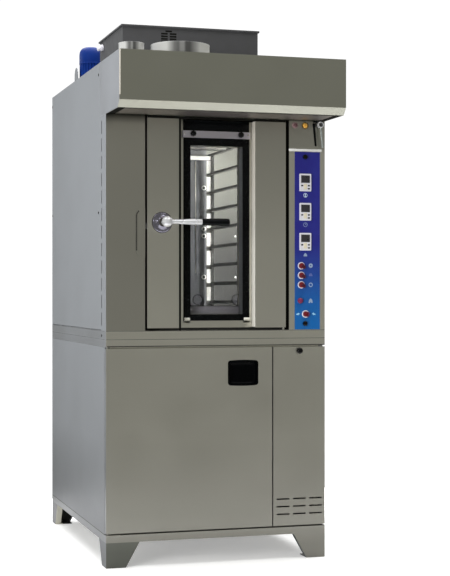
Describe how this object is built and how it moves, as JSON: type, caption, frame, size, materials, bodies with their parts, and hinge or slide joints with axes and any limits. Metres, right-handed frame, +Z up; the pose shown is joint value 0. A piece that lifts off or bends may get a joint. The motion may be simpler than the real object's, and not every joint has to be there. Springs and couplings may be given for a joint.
{
  "type": "rotating rack oven",
  "caption": "Free-standing rotating rack oven: windowed door, turning tray rack in an insulated chamber, hood with flue collars, and a base cabinet on folded feet.",
  "frame": {"origin": "centre of the bounding box's base, on the floor midway between the sides and midway between the hood's front and the rear panel", "axes": "+Z up along the height, +X to the right across the front seen from the front, +Y from the front to the rear"},
  "size_m": [0.92, 1.46, 2.23],
  "materials": {
    "satin_steel": "satin stainless sheet",
    "dark_steel": "satin stainless sheet, darker reflection",
    "side_steel": "satin stainless sheet",
    "foot_steel": "dark grey folded sheet",
    "bright_steel": "bright stainless",
    "liner_steel": "stainless chamber sheet",
    "chrome": "polished chrome",
    "black_plastic": "black moulded plastic",
    "black_rubber": "black silicone rubber",
    "grey_paint": "grey painted sheet",
    "motor_blue": "blue enamel",
    "panel_blue": "blue printed film, indigo at the head to azure at the foot",
    "white_plastic": "off-white bezel with a dark display",
    "red_plastic": "red moulded plastic",
    "pink_lens": "pale red lens",
    "orange_lens": "orange lens",
    "glass": "clear toughened glass",
    "rock_wool": "mineral wool slab"
  },
  "bodies": {
    "root": {"base_frame": "satin_steel", "cabinet_frame": "satin_steel", "service_panel": "satin_steel", "oven_base": "satin_steel", "control_column": "satin_steel", "cabinet_side_left": "side_steel", "cabinet_side_right": "side_steel", "cabinet_rear_panel": "side_steel", "oven_side_left": "side_steel", "oven_side_right": "side_steel", "oven_rear_panel": "side_steel", "oven_roof": "side_steel", "foot_front_left": "foot_steel", "foot_front_right": "foot_steel", "foot_rear_left": "foot_steel", "foot_rear_right": "foot_steel", "left_fascia": "dark_steel", "hood_shell": "dark_steel", "hood_baffle": "dark_steel", "heating_element": "dark_steel", "oven_liner": "liner_steel", "air_panel": "liner_steel", "flue_collar_large": "bright_steel", "flue_collar_small": "bright_steel", "drive_housing": "grey_paint", "rack_gearmotor": "motor_blue", "fan_motor": "motor_blue", "control_panel": "panel_blue", "controller_1": "white_plastic", "controller_2": "white_plastic", "controller_3": "white_plastic", "pilot_lamp_red": "pink_lens", "pilot_lamp_orange": "orange_lens", "oven_insulation": "rock_wool"},
    "oven_door": {"door_casing": "satin_steel", "door_outer_glass": "glass", "door_inner_glass": "glass", "glass_clamp_bar": "satin_steel", "door_gasket": "black_rubber", "latch_rosette": "chrome"},
    "latch_handle": {"latch_lever": "chrome", "latch_grip": "black_plastic"},
    "latch_bolt_body": {"latch_bolt": "bright_steel"},
    "glass_thumb_left": {"glass_knob_left": "black_plastic"},
    "glass_thumb_right": {"glass_knob_right": "black_plastic"},
    "tray_rack": {"rack_frame": "bright_steel", "tray_ladder_left": "bright_steel", "tray_ladder_right": "bright_steel"},
    "circulation_fan": {"fan_impeller": "bright_steel"},
    "cabinet_door": {"lower_door": "satin_steel", "lower_door_pull": "black_plastic"},
    "panel_thumb_top": {"panel_knob_top": "black_plastic"},
    "panel_thumb_bottom": {"panel_knob_bottom": "black_plastic"},
    "service_thumb": {"service_panel_knob": "black_plastic"},
    "rocker_1": {"rocker_switch_1": "red_plastic"},
    "rocker_2": {"rocker_switch_2": "red_plastic"},
    "rocker_3": {"rocker_switch_3": "red_plastic"},
    "stop_button": {"push_button": "red_plastic"},
    "selector": {"selector_knob": "red_plastic"},
    "steam_damper": {"damper_lever": "chrome"}
  },
  "joints": [
    {"name": "oven_door_swing", "type": "hinge", "parent": "root", "child": "oven_door", "pos_m": [0.282, -0.48, 1.37], "axis": [0, 0, 1], "range_deg": [0, 110]},
    {"name": "latch_turn", "type": "hinge", "parent": "oven_door", "child": "latch_handle", "pos_m": [-0.232, -0.575, 1.37], "axis": [0, 1, 0], "range_deg": [0, 60]},
    {"name": "latch_bolt_slide", "type": "slide", "parent": "oven_door", "child": "latch_bolt_body", "axis": [1, 0, 0], "range_m": [0, 0.012]},
    {"name": "glass_knob_left_turn", "type": "hinge", "parent": "oven_door", "child": "glass_thumb_left", "pos_m": [-0.093, -0.46, 1.733], "axis": [0, -1, 0], "range_deg": [0, 360]},
    {"name": "glass_knob_right_turn", "type": "hinge", "parent": "oven_door", "child": "glass_thumb_right", "pos_m": [0.109, -0.46, 1.733], "axis": [0, -1, 0], "range_deg": [0, 360]},
    {"name": "rack_turn", "type": "hinge", "parent": "root", "child": "tray_rack", "pos_m": [0, 0.015, 1.35], "axis": [0, 0, 1], "continuous": true},
    {"name": "fan_spin", "type": "hinge", "parent": "root", "child": "circulation_fan", "pos_m": [-0.31, 0.55, 1.7], "axis": [0, 0, 1], "continuous": true},
    {"name": "cabinet_door_swing", "type": "hinge", "parent": "root", "child": "cabinet_door", "pos_m": [-0.453, -0.481, 0.5], "axis": [0, 0, -1], "range_deg": [0, 110]},
    {"name": "panel_knob_top_turn", "type": "hinge", "parent": "root", "child": "panel_thumb_top", "pos_m": [0.372, -0.49, 1.647], "axis": [0, -1, 0], "range_deg": [0, 90]},
    {"name": "panel_knob_bottom_turn", "type": "hinge", "parent": "root", "child": "panel_thumb_bottom", "pos_m": [0.372, -0.49, 0.963], "axis": [0, -1, 0], "range_deg": [0, 90]},
    {"name": "service_knob_turn", "type": "hinge", "parent": "root", "child": "service_thumb", "pos_m": [0.349, -0.49, 0.8515], "axis": [0, -1, 0], "range_deg": [0, 90]},
    {"name": "rocker_1_tilt", "type": "hinge", "parent": "root", "child": "rocker_1", "pos_m": [0.356, -0.493, 1.2], "axis": [1, 0, 0], "range_deg": [0, 16]},
    {"name": "rocker_2_tilt", "type": "hinge", "parent": "root", "child": "rocker_2", "pos_m": [0.356, -0.493, 1.161], "axis": [1, 0, 0], "range_deg": [0, 16]},
    {"name": "rocker_3_tilt", "type": "hinge", "parent": "root", "child": "rocker_3", "pos_m": [0.356, -0.493, 1.122], "axis": [1, 0, 0], "range_deg": [0, 16]},
    {"name": "push_button_press", "type": "slide", "parent": "root", "child": "stop_button", "axis": [0, 1, 0], "range_m": [0, 0.004], "stiffness_N_per_m": 400},
    {"name": "selector_turn", "type": "hinge", "parent": "root", "child": "selector", "pos_m": [0.375, -0.49, 1.002], "axis": [0, -1, 0], "range_deg": [-45, 45]},
    {"name": "damper_swing", "type": "hinge", "parent": "root", "child": "steam_damper", "pos_m": [0.433, -0.512, 1.779], "axis": [0, 1, 0], "range_deg": [0, 75]}
  ],
  "couplings": [
    {"joint": "latch_bolt_slide", "follows": "latch_turn", "m_per_rad": 0.01145}
  ]
}
